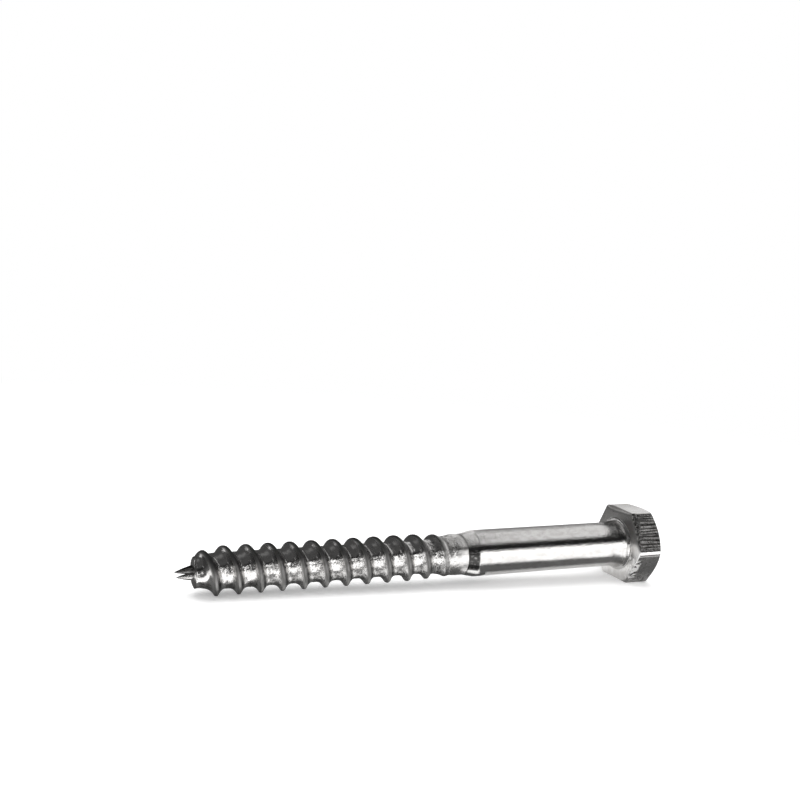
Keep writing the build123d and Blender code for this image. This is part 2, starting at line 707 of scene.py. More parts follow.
@dataclass(frozen=True)
class RolledZinc(BrightZinc):
    """Bright zinc on the thread, dull on the lapped crest and blotchy in the roots.

    Attributes:
        crest_level: Level of the lapped crest.
        crest_haze: Roughness added on the crest.
        seam_and_shade_level: Level of the lap where the rolled metal lapped over, and of the painted shade
            along it.
        blotch_level: Level of the dark blotches, and of the painted shade on the headward flanks.
        blotch_haze: Roughness added on the blotches.
        blank_haze: Roughness added where the blank is not rolled yet.
        bite: Depth of the marks where the dies first bite, in millimetres.
    """

    crest_level: float = 0.14
    crest_haze: float = 0.36
    seam_and_shade_level: float = 0.04
    blotch_level: float = 0.12
    blotch_haze: float = 0.15
    blank_haze: float = 0.14
    bite: float = 0.16

    def surface(self, graph: Graph) -> Coat:
        """Plate with blotches, the lapped crest and the lap beside it with painted shade, painted shade on the
        headward flanks, and the bite marks.

        Args:
            graph: Graph of the material.

        Returns:
            The coat.
        """
        coat = super().surface(graph)
        ridge = graph.painted("height")
        rolled = graph.painted("rolled")
        worked = graph.painted("worked")
        bitten = graph.painted("bitten")
        spots = graph.mottle(0.5, 4.0, 0.68)
        in_roots = graph.rise(spots, 0.54, 0.66) * (1.0 - graph.rise(ridge, 0.1, 0.5)) * rolled * 0.7
        # Darker blotches in the roots on the side towards the floor.
        blotched_below = graph.painted("blotched_below") * (graph.rise(spots, 0.36, 0.60) * 0.5 + 0.4)
        blotch = graph.clamp(in_roots * worked + blotched_below * rolled)
        # Painted shade on the headward flanks of the upper side, near the head, goes in with the blotches.
        blotch = graph.clamp(blotch + graph.painted("painted_flank_shade") * 0.8)
        crest = graph.rise(ridge, 0.55, 0.95) * rolled
        lapped = graph.rise(graph.mottle(0.8, 2.0), 0.34, 0.54)
        coat.tint(blotch, self.blotch_level)
        coat.tint(crest * 0.85, self.crest_level)
        # The lap beside the crest, with painted shade along it.
        coat.tint(graph.painted("seam_and_shade") * (lapped * 0.3 + 0.7), self.seam_and_shade_level)
        coat.tint(bitten * graph.rise(spots, 0.56, 0.64) * 0.8, self.blotch_level)
        coat.rough += crest * self.crest_haze
        coat.rough += blotch * self.blotch_haze + (1.0 - rolled) * self.blank_haze
        bites = graph.mottle(0.7, 3.0, 0.6) * bitten * self.bite
        coat.height = coat.height * worked + bites
        return coat


# ---------------------------------------------------------------- the head


class Flat(Enum):
    """The head's six flats, by the number of sixths of a turn from the one on the floor."""

    FLOOR = 0
    BACK_LOW = 1
    BACK_HIGH = 2
    TOP = 3
    FRONT_HIGH = 4
    FRONT_LOW = 5


@dataclass(frozen=True)
class HexOutline:
    """Points round the hexagon.

    Attributes:
        points: Place of each point, towards the floor and towards the back.
        normals: Direction out of the head at each point.
        across: Place across the flat, from -1 to 1.
        flats: Number of the flat.
    """

    points: np.ndarray
    normals: np.ndarray
    across: np.ndarray
    flats: np.ndarray

    def on(self, flat: Flat) -> np.ndarray:
        """True at the points of one flat."""
        return self.flats == flat.value

    def repeated(self, times: int) -> "HexOutline":
        """The same points again for each of several rings."""
        every = (self.points, self.normals, self.across, self.flats)
        return HexOutline(*(np.concatenate([each] * times) for each in every))


@dataclass
class HexHead:
    """Forged head with trimmed flats and a turned crown.

    Attributes:
        across_flats: Spanner size.
        height: Bearing face to crown.
        crown: Diameter of the flat circle on top.
        slope: Chamfer over the corners, in degrees.
        soft_edge: Largest radius of the edge round the bearing face, at the top corner.
        sharp_edge: Edge where the die closed tightly, round the rest of it.
        corner_radii: Radius of the corner that follows each flat, in the order of the flats.
        flat_steps: Points across each flat.
        corner_steps: Points round each corner.
        edge_steps: Rings over the edge round the bearing face.
        dish: How hollow the bearing face is.
        wobble: Unevenness of the whole skin.
        trim_depth: Depth of the trimming marks at their deepest.
        rib_spacing: Distance between two trimming marks.
        trim_marks: Strength of the trimming marks on each flat, in the order of the flats.
        inner_rings: Rings on the bearing face, as shares of the way out.
        side_rings: Rings up the flats, as shares of their height.
        chamfer_rings: Rings over the chamfer, as shares of the way in to the crown.
        crown_rings: Rings on the crown, as shares of its radius.
    """

    across_flats: float = 13.0
    height: float = 5.3
    crown: float = 12.35
    slope: float = 30.0
    soft_edge: float = 0.75
    sharp_edge: float = 0.3
    corner_radii: tuple[float, ...] = (0.25, 0.32, 0.35, 0.3, 0.7, 0.25)
    flat_steps: int = 66
    corner_steps: int = 9
    edge_steps: int = 9
    dish: float = 0.03
    wobble: float = 0.012
    trim_depth: float = 0.04
    rib_spacing: float = 0.62
    trim_marks: tuple[float, ...] = (0.5, 0.8, 1.0, 0.15, 1.0, 0.2)
    inner_rings: tuple[float, ...] = (0.62, 0.69, 0.75, 0.80, 0.85)
    side_rings: tuple[float, ...] = (
        0.03, 0.07, 0.12, 0.18, 0.25, 0.33, 0.42, 0.52, 0.62, 0.72, 0.81, 0.89, 0.95, 0.985
    )
    chamfer_rings: tuple[float, ...] = (0.03, 0.12, 0.5, 0.88, 0.97)
    crown_rings: tuple[float, ...] = (0.99, 0.96, 0.88, 0.74, 0.56, 0.36, 0.16, 0.004)

    def outline(self) -> HexOutline:
        """Go round the hexagon.

        Returns:
            The outline.
        """
        half = self.across_flats / 2
        slant = math.tan(math.radians(30))
        points, normals, across, flats = [], [], [], []
        for flat in Flat:
            before, after = self.corner_radii[flat.value - 1], self.corner_radii[flat.value]
            facing = math.radians(60 * flat.value)
            normal = np.array((math.cos(facing), math.sin(facing)))
            along = np.array((-normal[1], normal[0]))
            first, last = -(half - before) * slant, (half - after) * slant
            for step in range(self.flat_steps):
                share = step / (self.flat_steps - 1)
                points.append(normal * half + along * (first + (last - first) * share))
                normals.append(normal)
                across.append(2 * share - 1)
            centre = normal * (half - after) + along * last
            for step in range(1, self.corner_steps + 1):
                turn = facing + math.radians(60) * step / (self.corner_steps + 1)
                bent = np.array((math.cos(turn), math.sin(turn)))
                points.append(centre + bent * after)
                normals.append(bent)
                across.append(1.0)
            flats += [flat.value] * (self.flat_steps + self.corner_steps)
        return HexOutline(np.array(points), np.array(normals), np.array(across), np.array(flats))

    def chamfer(self, radius: np.ndarray) -> np.ndarray:
        """How far the chamfer has dropped below the crown at each radius."""
        return (radius - self.crown / 2) * math.tan(math.radians(self.slope))

    def shoulder(self, outline: HexOutline) -> np.ndarray:
        """Height at which the chamfer meets the flats, at each point."""
        return self.height - np.clip(self.chamfer(np.linalg.norm(outline.points, axis=1)), 0.0, None)

    def rolled_edge(self, outline: HexOutline) -> np.ndarray:
        """Shape the edge round the bearing face, large over the top flat and small elsewhere.

        Args:
            outline: The outline.

        Returns:
            Radius of the edge at each point.
        """
        turn = np.degrees(np.arctan2(outline.points[:, 1], outline.points[:, 0])) % 360.0
        soft = grows(turn, 147.0, 12.0) * ease(1.0, 0.45, (turn - 165.0) / 38.0) * fades(turn, 203.0, 9.0)
        return self.sharp_edge + (self.soft_edge - self.sharp_edge) * soft

    def trim_strength(self, outline: HexOutline) -> np.ndarray:
        """Strength of the trimming marks at each point."""
        return np.array(self.trim_marks)[outline.flats]

    def land(self, outline: HexOutline, up: np.ndarray) -> np.ndarray:
        """Lay out the plain band between the bearing face and the trimming marks.

        Args:
            outline: The outline.
            up: Height of each point above the bearing face.

        Returns:
            1 on the band and 0 beyond it.
        """
        level = np.zeros_like(up)
        wave = grain(np.column_stack((outline.across * 3.1, outline.flats * 4.7, level)), 1.0, 8.8)
        width = 1.15 - 0.75 * outline.across + 0.25 * wave
        return 1.0 - ease(0.0, 1.0, (up - width) / 0.25 + 0.5)

    def trimming(self, outline: HexOutline, up: np.ndarray) -> np.ndarray:
        """Cut the trimming marks into the flats.

        Args:
            outline: The outline.
            up: Height of each point above the bearing face.

        Returns:
            Depth of the cut in millimetres.
        """
        across, flats = outline.across, outline.flats
        along = across * self.across_flats / 2 * math.tan(math.radians(30))
        drift = grain(np.column_stack((along * 0.7, flats * 7.3, up * 0.10)), 1.0, 3.1)
        fine = grain(np.column_stack((along * 5.2, flats * 5.1, up * 0.35)), 1.0, 9.7)
        ribs = 0.5 - 0.5 * np.cos(2.0 * math.pi * (along / self.rib_spacing + 0.9 * drift))
        inside = np.clip((1.0 - np.abs(across)) * 9.0, 0.0, 1.0) * (1.0 - self.land(outline, up))
        depth = self.trim_depth * self.trim_strength(outline) * inside
        return depth * np.clip(ribs**0.6 + 0.5 * fine, 0.0, 1.3)

    def rings(self, outline: HexOutline) -> tuple[np.ndarray, np.ndarray, np.ndarray]:
        """Stack the rings from the hole for the shank, out and up to the middle of the crown.

        Args:
            outline: The outline.

        Returns:
            Places, heights above the bearing face and depths of the trimming marks, ring after ring.
        """
        points = outline.points
        reach = np.linalg.norm(points, axis=1)
        half, crown = self.across_flats / 2, self.crown / 2
        rolled, shoulder = self.rolled_edge(outline), self.shoulder(outline)
        flush = np.zeros(len(points))
        rings = [(points * share, flush + self.dish * (0.93 - share), flush) for share in self.inner_rings]
        for step in range(self.edge_steps):
            angle = math.radians(90) * step / (self.edge_steps - 1)
            inset = rolled * (1 - math.sin(angle))
            rings.append((points * (1 - inset / half)[:, None], rolled * (1 - math.cos(angle)), flush))
        for share in self.side_rings:
            up = rolled + (shoulder - rolled) * share
            fade = math.sin(math.pi * min(share * 4.0, 1.0) / 2)
            rings.append((points, up, self.trimming(outline, up) * fade))
        rim = points / reach[:, None]
        for share in self.chamfer_rings:
            radius = reach + (crown - reach) * share
            rings.append((rim * radius[:, None], self.height - self.chamfer(radius), flush))
        rings += [(rim * crown * share, flush + self.height, flush) for share in self.crown_rings]
        place, up, cut = (np.concatenate(each) for each in zip(*rings))
        return place, up, cut

    def paint(self, outline: HexOutline, place: np.ndarray, up: np.ndarray) -> dict[str, np.ndarray]:
        """Work out where the finish changes.

        Args:
            outline: The outline, repeated for each ring.
            place: Place of each point.
            up: Height of each point above the bearing face.

        Returns:
            Named values of each point: the plain band (land), the trimmed flats (trim), the bearing face
            (under), its edge over the top flat (rounded), the top flat darker towards one end with painted
            shade on the upper part of the bearing face (darkened), the torn dabs on the lower front flat
            (struck, scratch, worn) and a painted highlight on the bearing face beside them
            (painted_highlight).
        """
        across = outline.across
        rolled = self.rolled_edge(outline)
        on_side = (up > self.sharp_edge * 0.6) & (up < self.shoulder(outline) - 0.02)
        on_front = outline.on(Flat.FRONT_LOW)
        inside = np.clip((1.0 - np.abs(across)) * 12.0, 0.0, 1.0)
        under = fades(up, 0.12, 0.2) * (np.linalg.norm(place, axis=1) < self.across_flats * 0.58)
        # The top flat darker towards one end.
        darker_on_top = outline.on(Flat.TOP) * ease(1.0, 0.35, (across + 1.0) / 1.5)
        # Painted shade: the upper part of the bearing face darker towards the top.
        shade_below = 0.25 * under * grows(-place[:, 0], 0.5, 5.0)
        rounded = np.clip((rolled - self.sharp_edge) / 0.2, 0.0, 1.0)
        middle = fades(np.abs(across - 0.02), 0.52, 0.2)
        bearing = np.degrees(np.arctan2(place[:, 1], place[:, 0])) % 360.0
        # Painted highlight on the bearing face near the corner beside the dabs on the lower front flat.
        near_corner = hump(bearing, 274.0, 10.0) * grows(np.hypot(*place.T), 5.2, 1.0)
        return {
            "land": self.land(outline, up),
            "trim": self.trim_strength(outline) * inside * on_side,
            "under": under,
            "rounded": rounded * grows(up, 0.005, 0.05) * fades(up, rolled, 0.3),
            "darkened": darker_on_top * on_side + shade_below,
            "struck": on_front * middle * fades(up, 1.1, 0.5),
            "scratch": on_front * hump(across, -0.90, 0.035) * 0.7 * on_side,
            "worn": on_front * ease(0.0, 0.8, (across - 0.15) / 0.8) * on_side,
            "painted_highlight": under * near_corner,
        }

    def build(self) -> Skin:
        """Shape the head.

        Returns:
            The skin of the head.
        """
        outline = self.outline()
        place, up, cut = self.rings(outline)
        count = len(outline.points)
        times = len(up) // count
        every = outline.repeated(times)
        place = place - every.normals * cut[:, None]
        wobble = grain(np.column_stack((place, up)), 2.6, 5.5) * self.wobble
        place = place * (1.0 - np.abs(wobble)[:, None] / (self.across_flats / 2))
        paint = self.paint(every, place, up) | {"cut": cut / self.trim_depth}
        faces = [face[::-1] for face in ring_faces(times, count)]
        return Skin(-up, place[:, 0], place[:, 1], faces, paint)


# ---------------------------------------------------------------- the shank


@dataclass
class PlainShank:
    """Collar, neck, plain shank and the cone down to the thread blank.

    Attributes:
        radius: Radius of the shank.
        length: Full diameter, from the bearing face.
        collar_radius: Low ring round the neck.
        collar_height: Height of the ring.
        neck_length: Depth at which the shank starts to swell towards the ring.
        neck_swell: How much its radius grows from there to the bearing face.
        groove_depth: Depth of the groove between the ring and the swell.
        groove_cut: How much of the swell the groove takes away.
        cone_length: Cone from the shank to the blank.
        blank_radius: Rod that the thread is rolled on.
        bend_reach: How far from the start of the cone the straight shank ends.
        row_spacing: Distance between two rings of the shank.
        neck_steps: Rings along the swell, less one.
        cone_steps: Rings along the cone.
        columns: Points round the shank.
        collar_top: Top of the ring, as depths and distances inside its radius.
        collar_side: Bevel of the ring and the groove below it, as shares of the ring's height and
            distances inside its radius.
    """

    radius: float = 4.0
    length: float = 30.0
    collar_radius: float = 4.85
    collar_height: float = 0.2
    neck_length: float = 2.7
    neck_swell: float = 0.45
    groove_depth: float = 0.45
    groove_cut: float = 0.15
    cone_length: float = 2.1
    blank_radius: float = 3.525
    bend_reach: float = 0.25
    row_spacing: float = 0.25
    neck_steps: int = 14
    cone_steps: int = 8
    columns: int = 144
    collar_top: tuple[Pair, ...] = (
        (-0.4, 0.0), (-0.02, 0.0), (0.01, 0.01), (0.03, 0.04), (0.05, 0.08)
    )
    collar_side: tuple[Pair, ...] = (
        (0.35, 0.14), (0.38, 0.20), (0.45, 0.235), (0.65, 0.275),
        (1.25, 0.385), (1.75, 0.485), (1.92, 0.53), (2.0, 0.56),
    )

    def profile(self) -> list[Pair]:
        """Go along the shank from under the head to inside the thread.

        Returns:
            Pairs of depth and radius.
        """
        made = [(depth, self.collar_radius - inset) for depth, inset in self.collar_top]
        made += [(self.collar_height * share, self.collar_radius - inset) for share, inset in self.collar_side]
        neck = self.neck_length - self.groove_depth
        swell = self.neck_swell - self.groove_cut
        bend = (neck**2 + swell**2) / (2 * swell)
        for step in range(self.neck_steps + 1):
            left = neck * (1.0 - step / self.neck_steps)
            made.append((self.neck_length - left, self.radius + bend - math.sqrt(bend**2 - left**2)))
        first = self.neck_length + 0.2
        straight = self.length - self.bend_reach - first
        steps = int(straight / self.row_spacing)
        made += [(first + straight * step / steps, self.radius) for step in range(steps + 1)]
        made += [(self.length - 0.08, self.radius - 0.002), (self.length + 0.04, self.radius - 0.015)]
        slope = (self.radius - self.blank_radius) / self.cone_length
        for step in range(1, self.cone_steps + 1):
            depth = self.length + self.cone_length * step / self.cone_steps
            made.append((depth, self.radius - slope * (depth - self.length)))
        made.append((self.length + self.cone_length + 0.5, self.blank_radius - slope * 0.5 - 0.05))
        return made

    def unevenness(self, depth: np.ndarray, turn: np.ndarray) -> np.ndarray:
        """Make the bar uneven, because drawn bar is never quite straight or round.

        Args:
            depth: Depth of each point.
            turn: Angle round the screw.

        Returns:
            Amount to add to the radius.
        """
        slow = grain(round_places(turn, self.radius, depth * 0.6), 3.4, 12.3)
        drawn = grain(round_places(turn, 9.0, depth * 0.05), 1.0, 4.4)
        return -0.008 * np.abs(slow) - 0.003 * np.abs(drawn)

    def build(self) -> Skin:
        """Shape the shank.

        Returns:
            The skin of the shank, with painted shade on a band round the cone's lower side, strongest on the
            front.
        """
        skin = turned_skin(self.profile(), self.columns, self.unevenness)
        down = skin.down / np.hypot(skin.down, skin.back)
        below = skin.depth - self.length
        on_cone = (below > 0.1) & (below < self.cone_length + 0.1)
        facing = np.where(skin.back < 0.0, 1.0, 0.3)
        # Painted shade on a band round the cone's lower side, strongest on the front.
        skin.paint["cone_shade"] = on_cone * facing * grows(down, -0.34, 0.10) * fades(down, 0.50, 0.08)
        return skin


# ---------------------------------------------------------------- the thread


@dataclass
class WoodThread:
    """Rolled coarse thread from its run-out under the shank to the nipped end.

    Attributes:
        pitch: Advance of one turn.
        blank_radius: Rod that the thread is rolled on.
        core_radius: Radius in the roots.
        crest_radius: Radius over the crests.
        crest_reach: Half the land on top of the ridge.
        tipward_foot: Where the ridge meets the core on the side of the tip, from its middle.
        headward_foot: Where it meets the core on the side of the head.
        start: First trace of the thread.
        groove_run_out: Length over which the roots reach full depth.
        ridge_run_out: Length over which the crests reach full height.
        last_crest: Last full crest.
        nipped_end: Where the point is nipped off.
        nipped_crest: Radius over the ridge at the nipped end.
        nipped_core: Radius of the core at the nipped end.
        point_swell: Above 1, the crests stay high before they drop to the nipped end.
        hollow: How hollow the flanks are: 1 is straight.
        rounding: Reach over which the edges of the ridge are rounded.
        drift: How far the ridge runs ahead, towards the head, on the side facing front.
        point_drift: How much more it does so near the point.
        calm: Share of the unevenness that is left on the side lying uppermost.
        sunk_above: Depth down to which the skin is sunk into the shank.
        columns: Points in each turn.
        turns: First and last row of turns, counted from the last full crest.
        half_rows: Places of the rows across half a pitch, close together on the ridge.
    """

    pitch: float = 3.6
    blank_radius: float = 3.525
    core_radius: float = 2.85
    crest_radius: float = 3.9
    crest_reach: float = 0.20
    tipward_foot: float = 1.50
    headward_foot: float = 1.45
    start: float = 33.5
    groove_run_out: float = 5.5
    ridge_run_out: float = 9.0
    last_crest: float = 74.8
    nipped_end: float = 77.85
    nipped_crest: float = 2.62
    nipped_core: float = 2.38
    point_swell: float = 1.8
    hollow: float = 2.1
    rounding: float = 0.08
    drift: float = 0.30
    point_drift: float = 0.25
    calm: float = 0.35
    sunk_above: float = 31.9
    columns: int = 120
    turns: tuple[int, int] = (-13, 2)
    half_rows: tuple[float, ...] = (
        0.0, 0.05, 0.10, 0.14, 0.18, 0.22, 0.27, 0.33, 0.40, 0.48,
        0.56, 0.65, 0.75, 0.86, 0.98, 1.11, 1.25, 1.40, 1.56, 1.70,
    )

    def ridge(self, place: np.ndarray) -> np.ndarray:
        """Height of the ridge, from 0 at its foot to 1 on its crest.

        Args:
            place: Distance from the middle of the ridge along the axis.

        Returns:
            The heights.
        """
        fine = np.linspace(-self.pitch, self.pitch, 2881)
        foot = np.where(fine > 0.0, self.tipward_foot, self.headward_foot)
        run = np.clip((np.abs(fine) - self.crest_reach) / (foot - self.crest_reach), 0.0, 1.0)
        raw = (1.0 - run) ** self.hollow
        reach = np.arange(-60, 61) * (fine[1] - fine[0])
        weight = np.exp(-0.5 * (reach / self.rounding) ** 2)
        soft = np.convolve(raw, weight / weight.sum(), mode="same")
        return np.interp(place, fine, soft)

    def runs_ahead(self, depth: np.ndarray, turn: np.ndarray) -> np.ndarray:
        """How far the ridge runs ahead of an even helix, because the two dies did not quite match.

        Args:
            depth: Depth on the even helix.
            turn: Angle round the screw, from the side that lies down.

        Returns:
            The distance towards the head.
        """
        reach = self.drift + self.point_drift * grows(depth, 60.0, 15.0)
        reach = reach * ease(0.0, 1.0, (depth - self.start - 2.0) / 8.0) * ease(1.0, 0.4, (depth - 75.5) / 2.5)
        return reach * (0.325 + 0.75 * np.cos(turn + math.radians(64.3)))

    def to_the_point(self, depth: np.ndarray) -> np.ndarray:
        """Share of the way from the last full crest to the nipped end."""
        return np.clip((depth - self.last_crest) / (self.nipped_end - self.last_crest), 0.0, 1.0)

    def core_at(self, depth: np.ndarray) -> np.ndarray:
        """Radius in the roots.

        Args:
            depth: Depths.

        Returns:
            The radius at each depth.
        """
        share = np.clip((depth - self.start) / self.groove_run_out, 0.0, 1.0)
        rolled = 0.5 * share + 0.5 * ease(0.0, 1.0, share)
        groove = self.blank_radius + (self.core_radius - self.blank_radius) * rolled
        return groove + ease(0.0, self.nipped_core - self.core_radius, self.to_the_point(depth))

    def crest_at(self, depth: np.ndarray) -> np.ndarray:
        """Radius over the ridge.

        Args:
            depth: Depths.

        Returns:
            The radius at each depth.
        """
        rising = ease(self.blank_radius, self.crest_radius, (depth - self.start) / self.ridge_run_out)
        drop = self.to_the_point(depth) ** self.point_swell
        return rising + (self.nipped_crest - self.crest_radius) * drop

    def paint(self, depth: np.ndarray, turn: np.ndarray, local: np.ndarray) -> dict[str, np.ndarray]:
        """Work out where the finish changes.

        Args:
            depth: Depth of each point.
            turn: Angle round the screw, from the side that lies down.
            local: Distance from the middle of the ridge along the axis.

        Returns:
            Named values of each point: the lap beside the crest with painted shade along it (seam_and_shade),
                darker
            blotches in the roots on the side towards the floor (blotched_below), the marks where the dies
            first bite (bitten) and painted shade on the headward flanks of the upper side
            (painted_flank_shade).
        """
        low = np.cos(turn)
        over = ease(0.0, 1.0, -low / 0.5)
        # The lap beside the crest, with painted shade along it; on the upper side it sits nearer the crest and
        # is wider.
        seam_and_shade = hump(local, 0.18 * over - 0.50, 0.23 + 0.04 * over)
        roots = np.clip(grows(local, 0.5, 0.4) + fades(local, -1.55, 0.25), 0.0, 1.0)
        return {
            "seam_and_shade": seam_and_shade * np.clip((depth - self.start - 3.0) / 4.0, 0.0, 1.0),
            # Darker blotches in the roots on the side towards the floor.
            "blotched_below": roots * grows(low, 0.22, 0.3),
            "bitten": grows(depth, 33.0, 1.5) * fades(depth, 38.0, 3.0),
            # Painted shade on the headward flanks of the upper side, fading out towards the point.
            "painted_flank_shade": hump(local, -0.95, 0.36) * fades(depth, 53.0, 5.0) * grows(-low, 0.0, 0.3),
        }

    def build(self) -> Skin:
        """Shape the thread on rows that follow the ridge.

        Returns:
            The skin of the thread, painted with the height on the ridge and where the finish changes.
        """
        half = list(self.half_rows)
        rows_each = np.array([-self.pitch / 2] + [-place for place in half[:0:-1]] + half)
        numbers = range(self.turns[0], self.turns[1] + 1)
        places = np.concatenate([rows_each + self.pitch * number for number in numbers])
        share = np.arange(self.columns) / self.columns
        depth = (places[:, None] + self.last_crest - self.pitch * share[None, :]).ravel()
        local = np.repeat(np.tile(rows_each, len(numbers)), self.columns)
        turn = np.tile(share * 2 * math.pi, len(places))
        depth = depth - self.runs_ahead(depth, turn)
        core, crest = self.core_at(depth), self.crest_at(depth)
        height = self.ridge(local)
        radius = core + np.clip(crest - core, 0.0, None) * height
        place = round_places(turn, radius, depth)
        rolled = np.clip((depth - self.start) / 4.0, 0.0, 1.0)
        worked = ease(1.0, self.calm, (-np.cos(turn) - 0.30) / 0.25) * ease(1.0, 0.08, (depth - 74.2) / 1.3)
        lumps = grain(place, 1.1, 21.0) * worked
        dents = grain(place, 0.55, 33.0) * worked
        radius = radius + rolled * (1 - height) * (0.035 * lumps + 0.016 * dents)
        radius = radius - rolled * height * (0.020 * np.abs(lumps) + 0.012 * np.abs(dents))
        # The first rows are sunk into the shank, and those past the nipped end are drawn in under the nose.
        radius = np.where(depth < self.sunk_above, self.blank_radius - 0.15, radius)
        beyond = depth > self.nipped_end
        radius = np.where(beyond, np.minimum(radius, 1.5), radius)
        depth = np.where(beyond, self.nipped_end + 0.03, depth)
        paint = {"height": height, "rolled": rolled, "worked": worked} | self.paint(depth, turn, local)
        faces = self.faces(len(places), len(rows_each), depth)
        return Skin(depth, radius * np.cos(turn), radius * np.sin(turn), faces, paint)

    def faces(self, rows: int, per_turn: int, depth: np.ndarray) -> list[tuple[int, ...]]:
        """Join the rows, and each turn with the next.

        Args:
            rows: Number of rows.
            per_turn: Rows in one turn.
            depth: Depth of each point.

        Returns:
            The faces, without those that lie deep in the shank or past the nipped end.
        """
        made = []
        for row in range(rows - 1):
            first = row * self.columns
            for here in range(first, first + self.columns - 1):
                made.append((here, here + 1, here + self.columns + 1, here + self.columns))
            if row >= per_turn:
                here = first + self.columns - 1
                there = (row - per_turn) * self.columns
                made.append((here, there, there + self.columns, here + self.columns))
        numbers = np.array(made)
        deep = depth[numbers].max(axis=1) < 30.6
        past = depth[numbers].min(axis=1) > self.nipped_end + 0.02
        return [tuple(face) for face in numbers[~(deep | past)].tolist()]


# ---------------------------------------------------------------- the point


@dataclass(frozen=True)
class Lobe:
    """One flat lobe of the pinched spur.

    Attributes:
        middle: Middle of its root, towards the floor.
        half_width: Half its width at the root.
        half_thickness: Half its thickness at the root.
        short: How far its tip falls short of the spur's.
        lean: How far its tip lies from the middle of its root, towards the floor.
    """

    middle: float
    half_width: float
    half_thickness: float
    short: float
    lean: float


@dataclass
class NippedPoint:
    """Bevelled nose and the spur that the nipping dies leave.

    Attributes:
        nose_end: Depth of the end of the nose.
        nose_rise: How far the nose is pushed upwards.
        spur_end: Depth of the tip of the spur.
        upper: Lobe on the side away from the floor.
        lower: Lobe on the side of the floor.
        columns: Points round the nose.
        lobe_rings: Rings along a lobe.
        lobe_columns: Points round a lobe.
        nose_profile: Depths and radii of the nose, from inside the thread to its bevelled end.
    """

    nose_end: float = 78.25
    nose_rise: float = 0.06
    spur_end: float = 80.9
    upper: Lobe = Lobe(middle=-0.52, half_width=0.72, half_thickness=0.36, short=0.04, lean=0.34)
    lower: Lobe = Lobe(middle=0.60, half_width=0.62, half_thickness=0.42, short=0.35, lean=0.04)
    columns: int = 72
    lobe_rings: int = 16
    lobe_columns: int = 28
    nose_profile: tuple[Pair, ...] = (
        (76.7, 1.9), (77.2, 2.1), (77.5, 2.26), (77.65, 2.36), (77.78, 2.42), (77.86, 2.41), (77.93, 2.36),
        (77.99, 2.26), (78.04, 2.13), (78.08, 1.98), (78.12, 1.80), (78.16, 1.58), (78.19, 1.30),
        (78.22, 0.95), (78.24, 0.5),
    )

    def unevenness(self, depth: np.ndarray, turn: np.ndarray) -> np.ndarray:
        """Leave the marks of the nipping dies on the nose, and push it upwards.

        Args:
            depth: Depth of each point.
            turn: Angle round the screw.

        Returns:
            Amount to add to the radius.
        """
        place = round_places(turn, 2.2, depth)
        marks = 0.05 * grain(place, 1.2, 41.0) + 0.02 * grain(place, 0.5, 17.0)
        bevel_end = self.nose_profile[-1][0]
        return marks * ease(0.0, 1.0, (bevel_end - depth) / 0.2) - self.nose_rise * np.cos(turn)

    def nose(self) -> Skin:
        """Shape the bevelled nose."""
        return turned_skin((*self.nose_profile, (self.nose_end, 0.01)), self.columns, self.unevenness)

    def lobe(self, lobe: Lobe) -> Skin:
        """Shape one lobe of the spur.

        Args:
            lobe: Its sizes.

        Returns:
            The skin of the lobe.
        """
        root = self.nose_end - 0.35
        end = self.spur_end - lobe.short
        depth, down, back = [], [], []
        for ring in range(self.lobe_rings):
            share = ring / (self.lobe_rings - 1)
            size = 0.01 if share == 1.0 else (1 - share**1.5) * 0.94 + 0.06
            middle = lobe.middle + lobe.lean * share**1.2
            for column in range(self.lobe_columns):
                angle = 2 * math.pi * column / self.lobe_columns
                wide = math.copysign(abs(math.cos(angle)) ** 0.8, math.cos(angle))
                thick = math.copysign(abs(math.sin(angle)) ** 0.7, math.sin(angle))
                depth.append(root + (end - root) * share)
                down.append(middle + lobe.half_width * size * wide)
                back.append(lobe.half_thickness * (size**0.6) * thick)
        faces = ring_faces(self.lobe_rings, self.lobe_columns)
        skin = Skin(np.array(depth), np.array(down), np.array(back), faces)
        rough = grain(skin.points(), 0.45, 55.0) * 0.06
        skin.back = skin.back * (1 + rough)
        skin.down = skin.down + rough * 0.5
        return skin


# ---------------------------------------------------------------- the studio


@dataclass(frozen=True)
class Card:
    """A card that only the polished metal sees, as in a studio for bright metal.

    Attributes:
        name: Name of the card.
        level: Brightness of the card.
        corners: Corners of the card in millimetres.
    """

    name: str
    level: float
    corners: tuple[Triple, ...]

    @classmethod
    def lying(cls, name: str, level: float, x: Pair, y: Pair, up: float) -> "Card":
        """A card that lies level.

        Args:
            name: Name of the card.
            level: Brightness.
            x: Lowest and highest X.
            y: Lowest and highest Y.
            up: Height above the floor.

        Returns:
            The card.
        """
        return cls(name, level, ((x[0], y[0], up), (x[1], y[0], up), (x[1], y[1], up), (x[0], y[1], up)))

    @classmethod
    def standing(cls, name: str, level: float, x: Pair, z: Pair, y: float) -> "Card":
        """A card that stands square to the line from front to back.

        Args:
            name: Name of the card.
            level: Brightness.
            x: Lowest and highest X.
            z: Lowest and highest Z.
            y: Its Y.

        Returns:
            The card.
        """
        return cls(name, level, ((x[0], y, z[0]), (x[1], y, z[0]), (x[1], y, z[1]), (x[0], y, z[1])))

    def place(self) -> None:
        """Set the card up."""
        mesh = bpy.data.meshes.new(self.name)
        mesh.from_pydata([Vector(corner) * MM for corner in self.corners], [], [range(len(self.corners))])
        material = bpy.data.materials.new(self.name)
        graph = Graph(material)
        graph.show(graph.glow(self.level))
        mesh.materials.append(material)
        card = put_in_scene(self.name, mesh)
        card.visible_camera = False
        card.visible_diffuse = False
        card.visible_shadow = False
        card.visible_transmission = False


